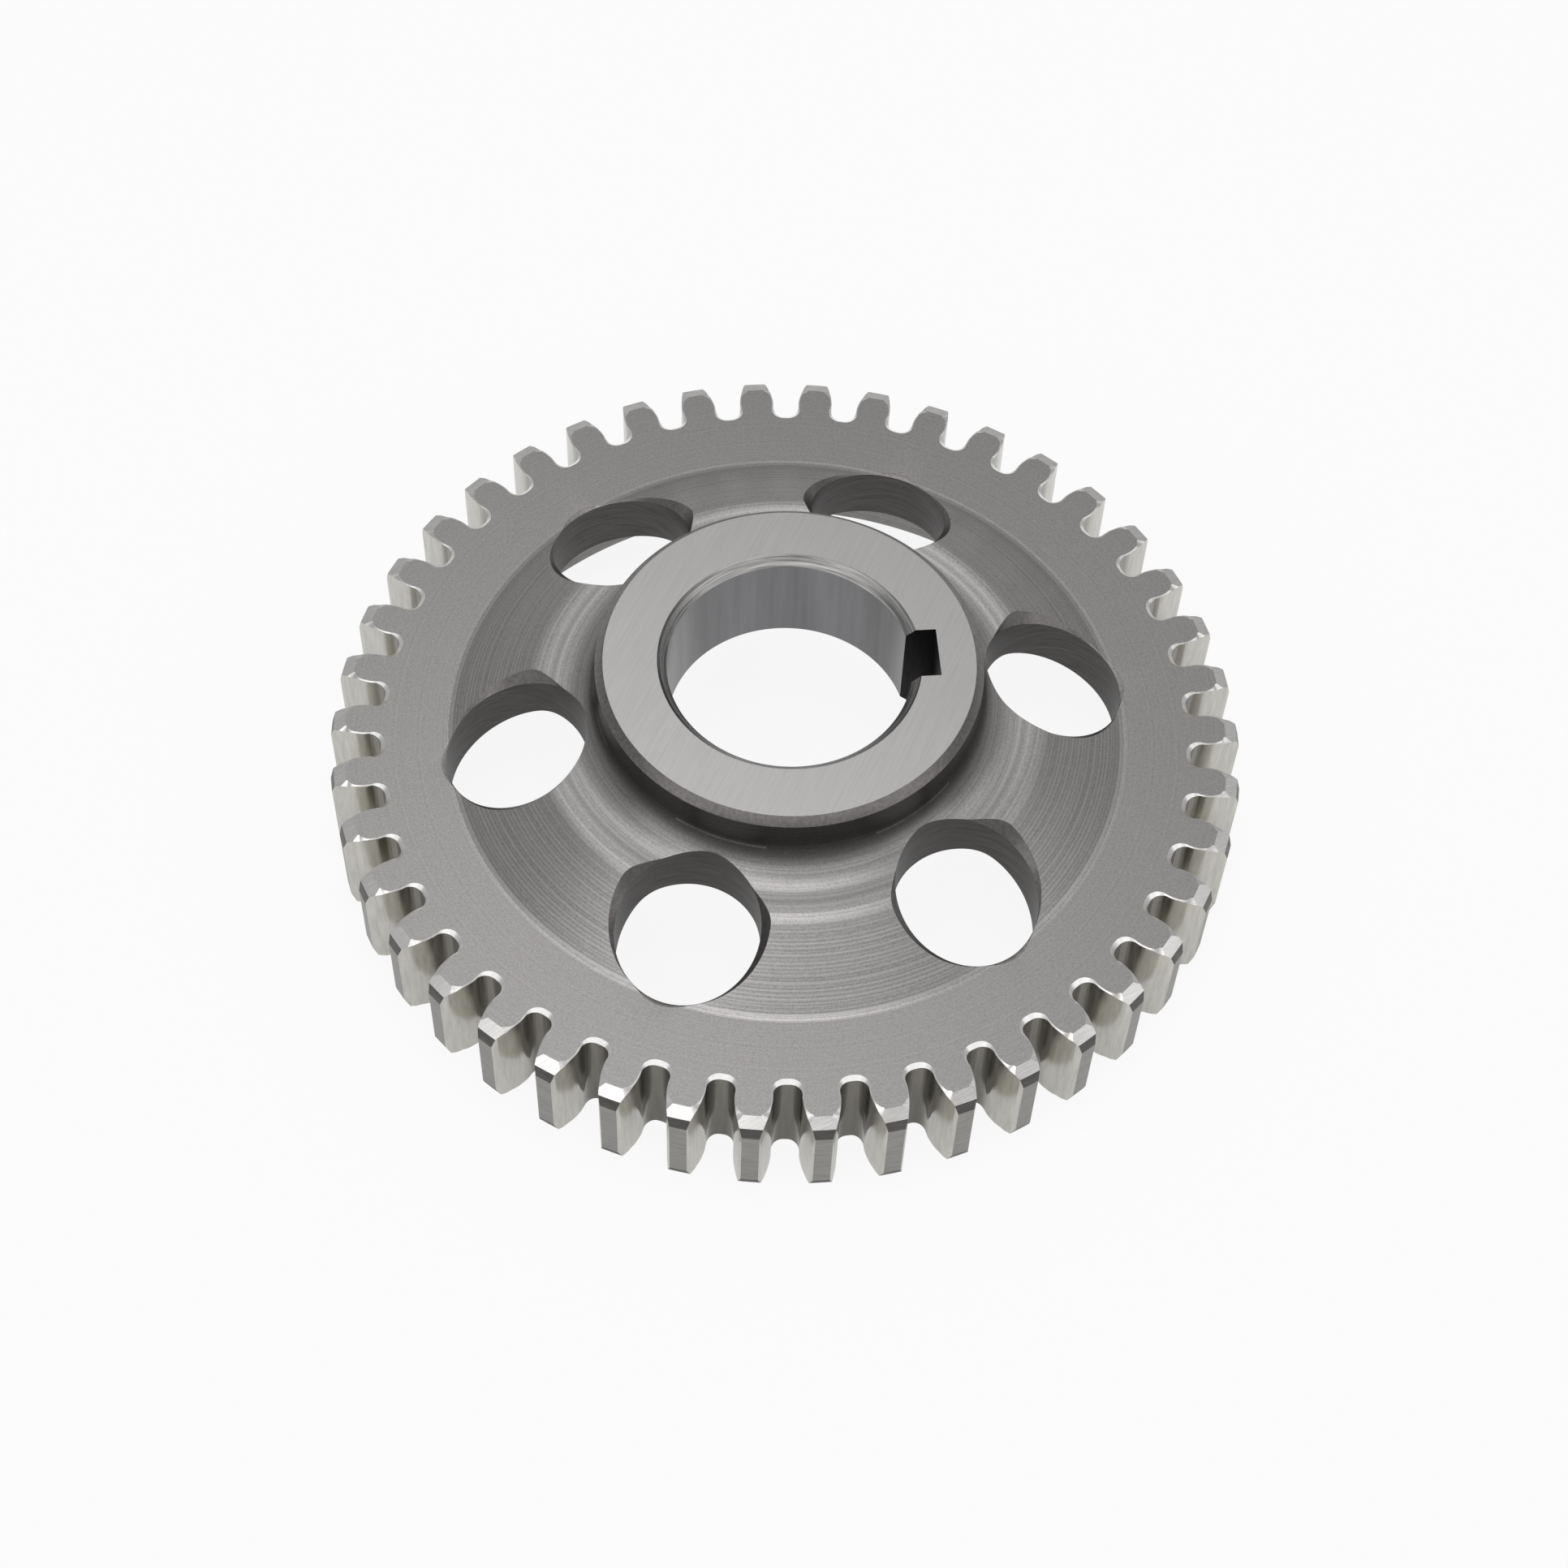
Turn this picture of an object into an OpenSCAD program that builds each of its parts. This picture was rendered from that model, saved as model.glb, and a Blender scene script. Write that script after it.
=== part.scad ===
// Balance shaft gear: a spur gear turned and hobbed from one steel forging.
// A dished web with six lightening holes carries a keyed hub that stands above the toothed rim.
// The origin is on the axis, in the plane of the rim's underside. +Z points to the hub's upper face,
// and the keyway opens towards +X.

/* [Teeth] */
// Number of teeth
teeth = 42; // [38:1:60]
// Module: the pitch diameter divided by the number of teeth
gear_module = 2.25; // [2.1:0.05:3]
// Pressure angle of the involute flanks, in degrees
pressure_angle = 14.5; // [14.5:0.5:22]
// Play at the pitch circle, left between this gear and its mate
backlash = 0.1; // [0:0.05:0.3]
// Depth of a tooth space, from the tip circle to its floor
tooth_depth = 5.56; // [5:0.02:6]
// Radius of the two rounded corners at the floor of a tooth space
root_fillet_r = 1.25; // [0.6:0.05:1.4]
// Width of the flat land along the top of a tooth
tip_land_w = 1.8; // [1.2:0.1:2]
// Radial depth of the bevels on both sides of that land
tip_bevel = 0.4; // [0.2:0.05:0.6]

/* [Tooth ends] */
// Radial length of the shallow facet on the end of each tooth
facet_len = 1.3; // [0.6:0.05:2]
// Drop of the shallow facet along the axis
facet_drop = 0.5; // [0.2:0.05:0.9]
// Radial length of the steep facet outside it
steep_len = 0.4; // [0.2:0.05:0.7]
// Drop of the steep facet along the axis
steep_drop = 1.35; // [0.6:0.05:2]
// Width of a tooth's flat face where it meets the shallow facet, between its bevelled corners
end_w = 1.9; // [1:0.1:2.2]
// Angle between the bevels of those corners and the middle of the tooth, in degrees
corner_angle = 35; // [25:1:50]
// Slope of those bevels, in degrees
corner_fall = 30; // [28:1:45]
// Width of the edge break round the floor of a tooth space
root_break_w = 0.48; // [0.2:0.02:0.7]
// Depth of that edge break along the axis
root_break_h = 0.4; // [0.2:0.02:0.6]
// Radius of the edge break in the plane of the face
root_break_r = 1.65; // [1.5:0.05:1.9]

/* [Rim] */
// Width of the toothed rim along the axis
face_w = 12.8; // [11:0.1:18]
// Width of the flat rim face, from the floor of the tooth spaces in to the dish
rim_shelf = 7.42; // [6:0.02:9]
// Thickness of the rim under the tooth spaces
rim_wall = 4.44; // [3.5:0.02:6]
// Chamfer on the inner edge of the rim's underside
rim_chamfer = 0.5; // [0.2:0.1:1]

/* [Web] */
// Rise of the web from the rim face to its shoulder
web_rise = 4.85; // [3.5:0.05:6]
// Thickness of the sloping web, square to its faces
web_t = 5.9; // [4.5:0.1:7]
// Width of the nearly flat ring between the shoulder and the hub wall
ring_w = 6.85; // [6:0.05:8]
// Fall of that ring towards the hub
ring_fall = 0.45; // [0.1:0.05:0.8]
// Radius of the hollow where the rim face turns up into the web
dish_edge_r = 2; // [1:0.1:3]
// Radius of the rounded shoulder
shoulder_r = 3.5; // [2:0.1:5]
// Radius of the hollow round the foot of the hub
hub_fillet_r = 4; // [2.5:0.1:5]
// Radius of the hollow at the edge of the flat disc under the hub
disc_edge_r = 6; // [3:0.5:8]
// Radius of the hollow between the underside of the web and the rim
rim_fillet_r = 3; // [2:0.1:4]

/* [Hub and bore] */
// Diameter of the hub
hub_d = 41.2; // [38:0.1:44]
// Length of the hub along the axis
hub_len = 13.05; // [11:0.05:16]
// Height of the hub's upper face above the rim face
hub_rise = 12.05; // [10.5:0.05:14]
// Chamfer on the hub's upper edge
hub_chamfer = 0.85; // [0.4:0.05:1.5]
// Diameter of the bore
bore_d = 26; // [20:0.5:30]
// Chamfer at both ends of the bore
bore_chamfer = 1; // [0.4:0.1:1.5]
// Width of the keyway
key_w = 6; // [4:0.5:8]
// Depth of the keyway beyond the wall of the bore
key_depth = 2.8; // [2:0.1:3.5]

/* [Lightening holes] */
// Number of holes through the web
holes = 6; // [3:1:7]
// Diameter of each hole
hole_d = 15.2; // [10:0.1:16]
// Diameter of the circle that the hole centres lie on
hole_circle_d = 58.8; // [57:0.1:61]
// Angle from the keyway to the first hole, in degrees
hole_turn = 5.1; // [0:0.1:30]
// Width of the chamfer on both sides of each hole's upper edge
hole_chamfer = 1.05; // [0.3:0.05:1.4]
// How far the countersink lies inwards from the hole's middle, along the web
sink_shift = 0.95; // [0:0.05:1.5]

/* [Hidden] */
$fn = 120;

// How far a cut runs past the surface it leaves
over = 0.5;
// How far the block that bevels a tooth's corner reaches from that corner
corner_reach = 2.2;
// Straight pieces along one involute flank
flank_steps = 6;
// Largest turn between two straight pieces of a rounding, in degrees
arc_step = 18;

// Circles of the teeth
pitch = 360 / teeth;
pitch_r = gear_module * teeth / 2;
tip_r = pitch_r + gear_module;
root_r = tip_r - tooth_depth;
base_r = pitch_r * cos(pressure_angle);
bevel_r = tip_r - tip_bevel;
facet_r = tip_r - steep_len - facet_len;

// Radii and heights of the turned section
hub_r = hub_d / 2;
bore_r = bore_d / 2;
hub_top = face_w + hub_rise;
hub_foot = hub_top - hub_len;
dish_r = root_r - rim_shelf;
rim_in_r = root_r - rim_wall;
ring_r = hub_r + ring_w;
ring_z = face_w + web_rise;
web_slope = web_rise / (dish_r - ring_r);
web_angle = atan(web_slope);
web_drop = web_t / cos(web_angle);
disc_r = dish_r - (hub_foot + web_drop - face_w) / web_slope;
rim_corner_z = web_z(rim_in_r) - web_drop;

// Height of the sloping upper face of the web at radius r
function web_z(r) = face_w + (dish_r - r) * web_slope;

// The involute function, in degrees
function involute(angle) = tan(angle) * 180 / PI - angle;

// Angle from the middle of a tooth space to its flank at radius r
function space_angle(r) =
    pitch / 4 + backlash / pitch_r * 90 / PI
    - involute(pressure_angle) + involute(acos(min(1, base_r / r)));

function on_circle(r, angle) = [r * cos(angle), r * sin(angle)];

// The flank starts on the base circle, or where the rounding of the floor lets it
flank_r = max(base_r, root_r + root_fillet_r);
flank_foot = on_circle(flank_r, space_angle(flank_r));
floor_r = min(root_fillet_r, flank_foot.y);
flank = [
    for (i = [0 : flank_steps])
        let(r = flank_r + (bevel_r - flank_r) * i / flank_steps)
            on_circle(r, space_angle(r))
];
land_corner = on_circle(tip_r, pitch / 2 - asin(tip_land_w / 2 / tip_r));
land_over = land_corner + (land_corner - flank[flank_steps]) * over / tip_bevel;

function unit(v) = v / norm(v);

function turned(v, angle) = [
    v.x * cos(angle) - v.y * sin(angle),
    v.x * sin(angle) + v.y * cos(angle)
];

// Arc of radius r that rounds the corner b of the outline a-b-c
function rounded(a, b, c, r) =
    let(
        u = unit(a - b),
        v = unit(c - b),
        half = acos(u * v) / 2,
        centre = b + unit(u + v) * r / sin(half),
        first = b + u * r / tan(half) - centre,
        last = b + v * r / tan(half) - centre,
        sweep = (180 - 2 * half) * sign(first.x * last.y - first.y * last.x),
        steps = ceil(abs(sweep) / arc_step)
    )
    [for (i = [0 : steps]) centre + turned(first, sweep * i / steps)];

// Outline of the space between two teeth, with its middle on +X
module space_outline() {
    floor_corner = [root_r, flank_foot.y];
    half_space = concat(
        [[root_r, 0]],
        rounded([root_r, 0], floor_corner, flank_foot + [over, 0], floor_r),
        flank,
        [land_corner, land_over]
    );
    mirror_half = [for (i = [len(half_space) - 1 : -1 : 1]) [half_space[i].x, -half_space[i].y]];
    polygon(concat(half_space, mirror_half));
}

// Half of the blank's section, from the bore out to the tooth tips
module blank_section() {
    disc_edge = [disc_r, hub_foot];
    rim_corner = [rim_in_r, rim_corner_z];
    dish_edge = [dish_r, face_w];
    shoulder = [ring_r, ring_z];
    hub_corner = [hub_r, ring_z - ring_fall];
    bore_foot = [bore_r + bore_chamfer, hub_foot];
    rim_foot = [rim_in_r, rim_chamfer];
    facet_top = [facet_r, face_w];
    hub_edge = [hub_r, hub_top - hub_chamfer];
    polygon(concat(
        [bore_foot],
        rounded(bore_foot, disc_edge, rim_corner, disc_edge_r),
        rounded(disc_edge, rim_corner, rim_foot, rim_fillet_r),
        [
            rim_foot,
            [rim_in_r + rim_chamfer, 0],
            [facet_r, 0],
            [facet_r + facet_len, facet_drop],
            [tip_r, facet_drop + steep_drop],
            [tip_r, face_w - facet_drop - steep_drop],
            [facet_r + facet_len, face_w - facet_drop],
            facet_top
        ],
        rounded(facet_top, dish_edge, shoulder, dish_edge_r),
        rounded(dish_edge, shoulder, hub_corner, shoulder_r),
        rounded(shoulder, hub_corner, hub_edge, hub_fillet_r),
        [
            hub_edge,
            [hub_r - hub_chamfer, hub_top],
            [bore_r + bore_chamfer, hub_top],
            [bore_r, hub_top - bore_chamfer],
            [bore_r, hub_foot + bore_chamfer]
        ]
    ));
}

// Edge break round the floor of a tooth space, on the upper face
module root_break() {
    spread = root_break_w / root_break_h;
    depth = root_break_h + over / 2;
    translate([root_r - root_break_w + root_break_r, 0, face_w - depth])
        cylinder(
            h = depth + over,
            r1 = root_break_r - spread * depth,
            r2 = root_break_r + spread * over
        );
}

// Bevels of the two outer corners of a tooth's flat face
module corner_bevels() {
    for (side = [0, 1])
        mirror([0, side, 0])
            translate([facet_r, end_w / 2, face_w])
                rotate([-corner_fall, 0, -corner_angle])
                    translate([-corner_reach, -over, 0])
                        cube([2 * corner_reach, corner_reach + over, corner_reach]);
}

// A cut and its mirror image on the underside of the rim
module both_ends() {
    children();
    translate([0, 0, face_w]) mirror([0, 0, 1]) children();
}

module tooth_cuts() {
    for (i = [0 : teeth - 1])
        rotate(i * pitch) {
            translate([0, 0, -over])
                linear_extrude(face_w + 2 * over) space_outline();
            both_ends() root_break();
            rotate(pitch / 2) both_ends() corner_bevels();
        }
}

// One hole through the web, countersunk square to the web's sloping face
module lightening_hole() {
    hole_r = hole_d / 2;
    hole_x = hole_circle_d / 2;
    cone_fall = (norm([hole_x, hole_r]) - hole_x) * sin(web_angle);
    sink_r = hole_r + hole_chamfer + cone_fall;
    // The 90 degree cone is sink_r in radius at the web's face, and reaches below and above it
    below = sink_r / 2;
    above = hole_r / 2;
    translate([hole_x, 0, -over])
        cylinder(h = hub_top + 2 * over, r = hole_r);
    translate([hole_x, 0, web_z(hole_x)])
        rotate([0, web_angle, 0])
            translate([-sink_shift, 0, 0])
                difference() {
                    translate([0, 0, -below])
                        cylinder(h = below + above, r1 = sink_r - below, r2 = sink_r + above);
                    // The cone is trimmed on the side of the hub, so that it clears the hub's wall
                    translate([-hole_r - hole_chamfer - hole_d, -hole_d, -hole_r])
                        cube([hole_d, 2 * hole_d, hole_d]);
                }
}

module keyway() {
    translate([0, -key_w / 2, hub_foot - over])
        cube([bore_r + key_depth, key_w, hub_len + 2 * over]);
}

module gear() {
    color("#8f8d8c")
        difference() {
            rotate_extrude() blank_section();
            tooth_cuts();
            for (i = [0 : holes - 1])
                rotate(hole_turn + i * 360 / holes)
                    lightening_hole();
            keyway();
        }
}

gear();
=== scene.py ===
"""Finishes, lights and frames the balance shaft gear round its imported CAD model."""

from math import acos, asin, atan, ceil, cos, hypot, pi, radians, sin, tan

import bpy
from bpy.props import FloatProperty, FloatVectorProperty, IntProperty, PointerProperty
from mathutils import Matrix, Vector


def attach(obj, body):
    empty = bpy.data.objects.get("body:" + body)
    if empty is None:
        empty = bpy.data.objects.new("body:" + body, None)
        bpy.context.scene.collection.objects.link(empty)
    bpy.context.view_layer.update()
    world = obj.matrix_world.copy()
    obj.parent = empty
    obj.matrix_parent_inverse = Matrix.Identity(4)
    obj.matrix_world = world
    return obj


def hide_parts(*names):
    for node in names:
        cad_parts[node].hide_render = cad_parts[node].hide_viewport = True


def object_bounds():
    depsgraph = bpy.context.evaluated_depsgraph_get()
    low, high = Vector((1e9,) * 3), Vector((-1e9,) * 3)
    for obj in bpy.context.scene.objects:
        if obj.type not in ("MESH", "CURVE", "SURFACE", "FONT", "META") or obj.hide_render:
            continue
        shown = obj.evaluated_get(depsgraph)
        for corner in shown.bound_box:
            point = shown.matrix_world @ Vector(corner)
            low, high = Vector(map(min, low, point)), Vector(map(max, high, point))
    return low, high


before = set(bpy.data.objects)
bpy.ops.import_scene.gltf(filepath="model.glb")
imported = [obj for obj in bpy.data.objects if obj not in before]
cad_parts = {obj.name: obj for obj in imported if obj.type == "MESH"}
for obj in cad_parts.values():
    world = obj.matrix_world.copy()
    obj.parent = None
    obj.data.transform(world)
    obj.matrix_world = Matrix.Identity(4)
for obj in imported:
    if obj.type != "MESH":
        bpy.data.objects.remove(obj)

bl_info = {
    "name": "Balance shaft gear",
    "version": (1, 0, 0),
    "blender": (4, 5, 0),
    "location": "View3D > Sidebar > Gear",
    "description": "Models a spur gear with a dished web, with machined steel finishes and a stage",
    "category": "Object",
}

MM = 0.001
CAD_LOW, CAD_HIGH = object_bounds()
HUB_TOP = CAD_HIGH.z

# Corners of the mesh closer than this are one corner
WELD = 0.001 * MM
# Slack of a test of where a face lies
HAIR = 0.02 * MM
# Slack of a test of which way a face points, as a cosine
LEAN = 0.01
# A face whose normal rises by more than this is level
LEVEL = 0.999
# Sides of a drill or a countersink
DRILL_SIDES = 128
# Steps of a tooth's flank below its facets and beside them
FLANK_STEPS = 9
FACET_STEPS = 3
# How late the flat end of a tooth narrows towards its facets: a higher power is later
CORNER_POWER = 5

# The photograph is square, and Blender's sensor width belongs to its long side
PHOTO_PX = 1932
SENSOR = 36.0

# Slots of the gear's mesh, by the way each surface was cut
RIM, WEB, HUB, BORE, CHAMFER, KEYWAY, FLANK, EDGE, ROOT_EDGE, LAND, STEEP, HOLE, SINK, BACK = range(14)


def linear(code):
    """An sRGB hex colour as the linear colour that a shader takes."""
    parts = [int(code[i:i + 2], 16) / 255 for i in (1, 3, 5)]
    return tuple(c / 12.92 if c <= 0.04045 else ((c + 0.055) / 1.055) ** 2.4 for c in parts) + (1.0,)


def colour(code):
    """A colour property's default, from its sRGB hex code."""
    return linear(code)[:3]


def length(name, default_mm, description):
    """A size in real units, given in millimetres."""
    return FloatProperty(
        name=name, description=description, default=default_mm * MM, unit="LENGTH", precision=5
    )


def shade(name, code, description):
    """A colour of one finish."""
    return FloatVectorProperty(
        name=name, description=description, default=colour(code), subtype="COLOR", size=3, min=0, max=1
    )


class GearSizes(bpy.types.PropertyGroup):
    """Sizes of the gear, as in its CAD source."""

    teeth: IntProperty(name="Teeth", description="Number of teeth", default=42, min=12)
    turn_steps: IntProperty(
        name="Turn steps", description="Steps of each turned surface between two teeth", default=8
    )
    arc_step: FloatProperty(
        name="Arc step", description="Largest turn between two pieces of a rounding",
        default=radians(4), subtype="ANGLE",
    )
    pressure_angle: FloatProperty(
        name="Pressure angle", description="Slope of the involute at the pitch circle",
        default=radians(14.5), subtype="ANGLE",
    )
    module: length("Module", 2.25, "Pitch diameter over the number of teeth")
    backlash: length("Backlash", 0.1, "Play at the pitch circle")
    tooth_depth: length("Tooth depth", 5.56, "From the tip circle to the floor of a tooth space")
    root_fillet: length("Root fillet", 1.25, "Rounded corners of that floor")
    tip_land: length("Tip land", 1.8, "Width of the flat along the top of a tooth")
    tip_bevel: length("Tip bevel", 0.4, "Radial depth of the bevels beside the land")
    facet_len: length("Shallow facet", 1.3, "Radial length of the shallow facet on a tooth's end")
    facet_drop: length("Shallow drop", 0.5, "Drop of that facet along the axis")
    steep_len: length("Steep facet", 0.4, "Radial length of the steep facet outside it")
    steep_drop: length("Steep drop", 1.35, "Drop of the steep facet along the axis")
    end_w: length("Flat end", 1.9, "Width of the straight stretch at the end of a tooth's flat face")
    root_break_w: length("Root break width", 0.48, "Width of the broken edge round a space's floor")
    root_break_h: length("Root break depth", 0.4, "Depth of that broken edge")
    flank_break_w: length("Flank break width", 0.15, "Width of the broken edge along a flank")
    flank_break_h: length("Flank break depth", 0.08, "Depth of that broken edge")
    face_w: length("Face width", 12.8, "Width of the toothed rim")
    rim_shelf: length("Rim shelf", 7.42, "Flat rim face inside the tooth spaces")
    rim_wall: length("Rim wall", 4.44, "Thickness of the rim under the tooth spaces")
    rim_chamfer: length("Rim chamfer", 0.5, "Inner edge of the rim's underside")
    web_rise: length("Web rise", 4.85, "From the rim face to the shoulder")
    web_t: length("Web thickness", 5.9, "Square to its faces")
    ring_w: length("Ring width", 6.85, "From the hub wall to the shoulder")
    ring_fall: length("Ring fall", 0.45, "Fall of the ring towards the hub")
    dish_edge_r: length("Dish edge radius", 2.0, "Where the rim face turns up into the web")
    shoulder_r: length("Shoulder radius", 3.5, "Where the web turns level")
    hub_fillet_r: length("Hub fillet radius", 4.0, "Round the foot of the hub")
    disc_edge_r: length("Disc edge radius", 6.0, "Edge of the flat disc under the hub")
    rim_fillet_r: length("Rim fillet radius", 3.0, "Between the web's underside and the rim")
    hub_d: length("Hub diameter", 41.2, "Outside diameter of the hub")
    hub_len: length("Hub length", 13.05, "Length of the hub along the axis")
    hub_chamfer: length("Hub chamfer", 0.85, "Upper edge of the hub")
    bore_d: length("Bore diameter", 26.0, "Diameter of the bore")
    bore_chamfer: length("Bore chamfer", 1.0, "Both ends of the bore")
    key_w: length("Key width", 6.0, "Width of the keyway")
    key_depth: length("Key depth", 2.8, "Depth of the keyway beyond the bore's wall")
    holes: IntProperty(name="Holes", description="Number of lightening holes", default=6)
    hole_d: length("Hole diameter", 15.2, "Diameter of a lightening hole")
    hole_circle_d: length("Hole circle", 58.8, "Diameter of the circle of the hole centres")
    hole_turn: FloatProperty(
        name="Hole turn", description="From the keyway to the first hole",
        default=radians(5.1), subtype="ANGLE",
    )
    hole_chamfer: length("Hole chamfer", 0.95, "Width of the chamfer on both sides of a hole")
    sink_shift: length("Countersink shift", 0.5, "How far a countersink lies inwards of its hole")
    sink_top: length("Countersink top", 0.6, "Reach above the web, clear of the hub's wall")
    edge_r: length("Edge radius", 0.12, "Rounding left on the hub's edges by a deburring tool")


class GearFinish(bpy.types.PropertyGroup):
    """Colours of the machined steel and of the stage."""

    rim: shade("Rim face", "#918f8e", "Fine turned steel of the rim face")
    web: shade("Web", "#a19f9e", "Turned steel of the web")
    wall: shade("Hub wall", "#4c4a49", "Steel of the hub's wall, with little light on it")
    hub: shade("Hub face", "#acabaa", "Ground steel of the hub's upper face")
    bore: shade("Bore", "#868688", "Bored steel")
    # Nearly black, far darker than the bore
    keyway: shade("Keyway", "#2c292b", "Broached steel, dark with oil")
    flank: shade("Tooth flanks", "#c9c7c0", "Hobbed steel, a little warmer")
    # Painted highlight: the edges round the spaces are near white
    root_edge: shade("Root edges", "#fbfaf8", "Bright metal of the edges round the spaces")
    land: shade("Tooth lands", "#959390", "Turned steel of the tip circle")
    # Painted shade: the steep facets are given a dark tone
    steep: shade("Steep facets", "#5b5957", "Dull steel of the steep facets over the lands")
    # Partly painted highlight: bright cut steel, lifted to near white
    edge: shade("Facets", "#eeecea", "Freshly cut facets and broken edges")
    # Painted shade: the hole walls are given a dark tone
    hole: shade("Holes", "#5c5a59", "Drilled steel")
    sink: shade("Countersinks", "#7f7c7b", "Countersunk edges of the holes")
    floor: shade("Floor", "#f2f2f2", "Matt white sheet under the gear")


class GearView(bpy.types.PropertyGroup):
    """The photograph's camera, fitted to the gear's circles and tooth tips."""

    focal_px: FloatProperty(name="Focal length", description="In pixels of the photograph", default=3736.9)
    elevation: FloatProperty(
        name="Elevation", description="Above the horizon", default=radians(56.324), subtype="ANGLE"
    )
    azimuth: FloatProperty(
        name="Azimuth", description="From +Y, with the keyway on +X", default=radians(-6.58), subtype="ANGLE"
    )
    roll: FloatProperty(
        name="Roll", description="Turn of the picture about its middle",
        default=radians(-2.627), subtype="ANGLE",
    )
    distance: length("Distance", 331.2, "From the camera to the gear, along the view")
    aim_right: length("Aim right", -0.26, "From the axis to the picture's middle, to the right")
    aim_down: length("Aim down", 5.47, "From the axis to the picture's middle, downwards")
    land_top: length("Aim height", 10.95, "Height on the axis that the camera's fit starts from")


def circle_point(r, angle):
    return Vector((r * cos(angle), r * sin(angle)))


def involute(angle):
    return tan(angle) - angle


def rounded(a, b, c, r, step):
    """Points of the arc of radius r that rounds the corner b of the outline a-b-c."""
    a, b, c = Vector(a), Vector(b), Vector(c)
    u, v = (a - b).normalized(), (c - b).normalized()
    half = acos(u.dot(v)) / 2
    centre = b + (u + v).normalized() * r / sin(half)
    first = b + u * r / tan(half) - centre
    last = b + v * r / tan(half) - centre
    turn = pi - 2 * half
    if first.x * last.y < first.y * last.x:
        turn = -turn
    steps = ceil(abs(turn) / step)
    return [centre + Matrix.Rotation(turn * i / steps, 2) @ first for i in range(steps + 1)]


class Section:
    """Radii and heights that follow from the gear's sizes."""

    def __init__(self, s):
        self.s = s
        # Small roundings need fewer pieces
        self.coarse_step = 3 * s.arc_step
        self.pitch = 2 * pi / s.teeth
        self.pitch_r = s.module * s.teeth / 2
        self.tip_r = self.pitch_r + s.module
        self.root_r = self.tip_r - s.tooth_depth
        self.base_r = self.pitch_r * cos(s.pressure_angle)
        self.bevel_r = self.tip_r - s.tip_bevel
        self.facet_r = self.tip_r - s.steep_len - s.facet_len
        self.flank_r = max(self.base_r, self.root_r + s.root_fillet)
        self.hub_r = s.hub_d / 2
        self.bore_r = s.bore_d / 2
        self.hub_foot = HUB_TOP - s.hub_len
        self.dish_r = self.root_r - s.rim_shelf
        self.rim_in_r = self.root_r - s.rim_wall
        self.ring_r = self.hub_r + s.ring_w
        self.ring_z = s.face_w + s.web_rise
        self.slope = s.web_rise / (self.dish_r - self.ring_r)
        self.web_angle = atan(self.slope)
        self.web_drop = s.web_t / cos(self.web_angle)
        self.disc_r = self.dish_r - (self.hub_foot + self.web_drop - s.face_w) / self.slope

    def web_z(self, r):
        """Height of the sloping upper face of the web."""
        return self.s.face_w + (self.dish_r - r) * self.slope

    def space_angle(self, r):
        """From the middle of a tooth space to its flank at radius r."""
        s = self.s
        play = s.backlash / self.pitch_r / 4
        return self.pitch / 4 + play - involute(s.pressure_angle) + involute(acos(min(1, self.base_r / r)))

    def outline(self):
        """Half of the blank's section as (radius, height), round from the foot of the bore."""
        s = self.s
        bore_foot = (self.bore_r + s.bore_chamfer, self.hub_foot)
        disc_edge = (self.disc_r, self.hub_foot)
        rim_corner = (self.rim_in_r, self.web_z(self.rim_in_r) - self.web_drop)
        rim_foot = (self.rim_in_r, s.rim_chamfer)
        facet_top = (self.facet_r, s.face_w)
        dish_edge = (self.dish_r, s.face_w)
        shoulder = (self.ring_r, self.ring_z)
        hub_corner = (self.hub_r, self.ring_z - s.ring_fall)
        hub_edge = (self.hub_r, HUB_TOP - s.hub_chamfer)
        hub_face_edge = (self.hub_r - s.hub_chamfer, HUB_TOP)
        bore_face_edge = (self.bore_r + s.bore_chamfer, HUB_TOP)
        steep_r = self.facet_r + s.facet_len
        low_land = s.facet_drop + s.steep_drop
        # The rim's faces are split here, so that the teeth are cut only into the outer part
        split_r = self.root_r - 2 * s.root_break_w
        return [
            bore_foot,
            *rounded(bore_foot, disc_edge, rim_corner, s.disc_edge_r, s.arc_step),
            *rounded(disc_edge, rim_corner, rim_foot, s.rim_fillet_r, s.arc_step),
            rim_foot,
            (self.rim_in_r + s.rim_chamfer, 0),
            (split_r, 0),
            (self.facet_r, 0),
            (steep_r, s.facet_drop),
            (self.tip_r, low_land),
            (self.tip_r, s.face_w - low_land),
            (steep_r, s.face_w - s.facet_drop),
            facet_top,
            (split_r, s.face_w),
            *rounded(facet_top, dish_edge, shoulder, s.dish_edge_r, s.arc_step),
            *rounded(dish_edge, shoulder, hub_corner, s.shoulder_r, s.arc_step),
            *rounded(shoulder, hub_corner, hub_edge, s.hub_fillet_r, s.arc_step),
            *rounded(hub_corner, hub_edge, hub_face_edge, s.edge_r, self.coarse_step),
            *rounded(hub_edge, hub_face_edge, bore_face_edge, s.edge_r, self.coarse_step),
            bore_face_edge,
            (self.bore_r, HUB_TOP - s.bore_chamfer),
            (self.bore_r, self.hub_foot + s.bore_chamfer),
        ]

    def half_space(self):
        """Half of a tooth space's outline, as (point, width of its broken edge, depth of that edge)."""
        s = self.s
        foot = circle_point(self.flank_r, self.space_angle(self.flank_r))
        corner = (self.root_r, foot.y)
        floor = rounded((self.root_r, 0), corner, foot, min(s.root_fillet, foot.y), self.coarse_step)
        outline = [(Vector((self.root_r, 0)), s.root_break_w, s.root_break_h)]
        for i, point in enumerate(floor):
            share = cos(pi / 2 * i / (len(floor) - 1))
            width = s.flank_break_w + (s.root_break_w - s.flank_break_w) * share
            outline.append((point, width, s.flank_break_h + (s.root_break_h - s.flank_break_h) * share))
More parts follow.
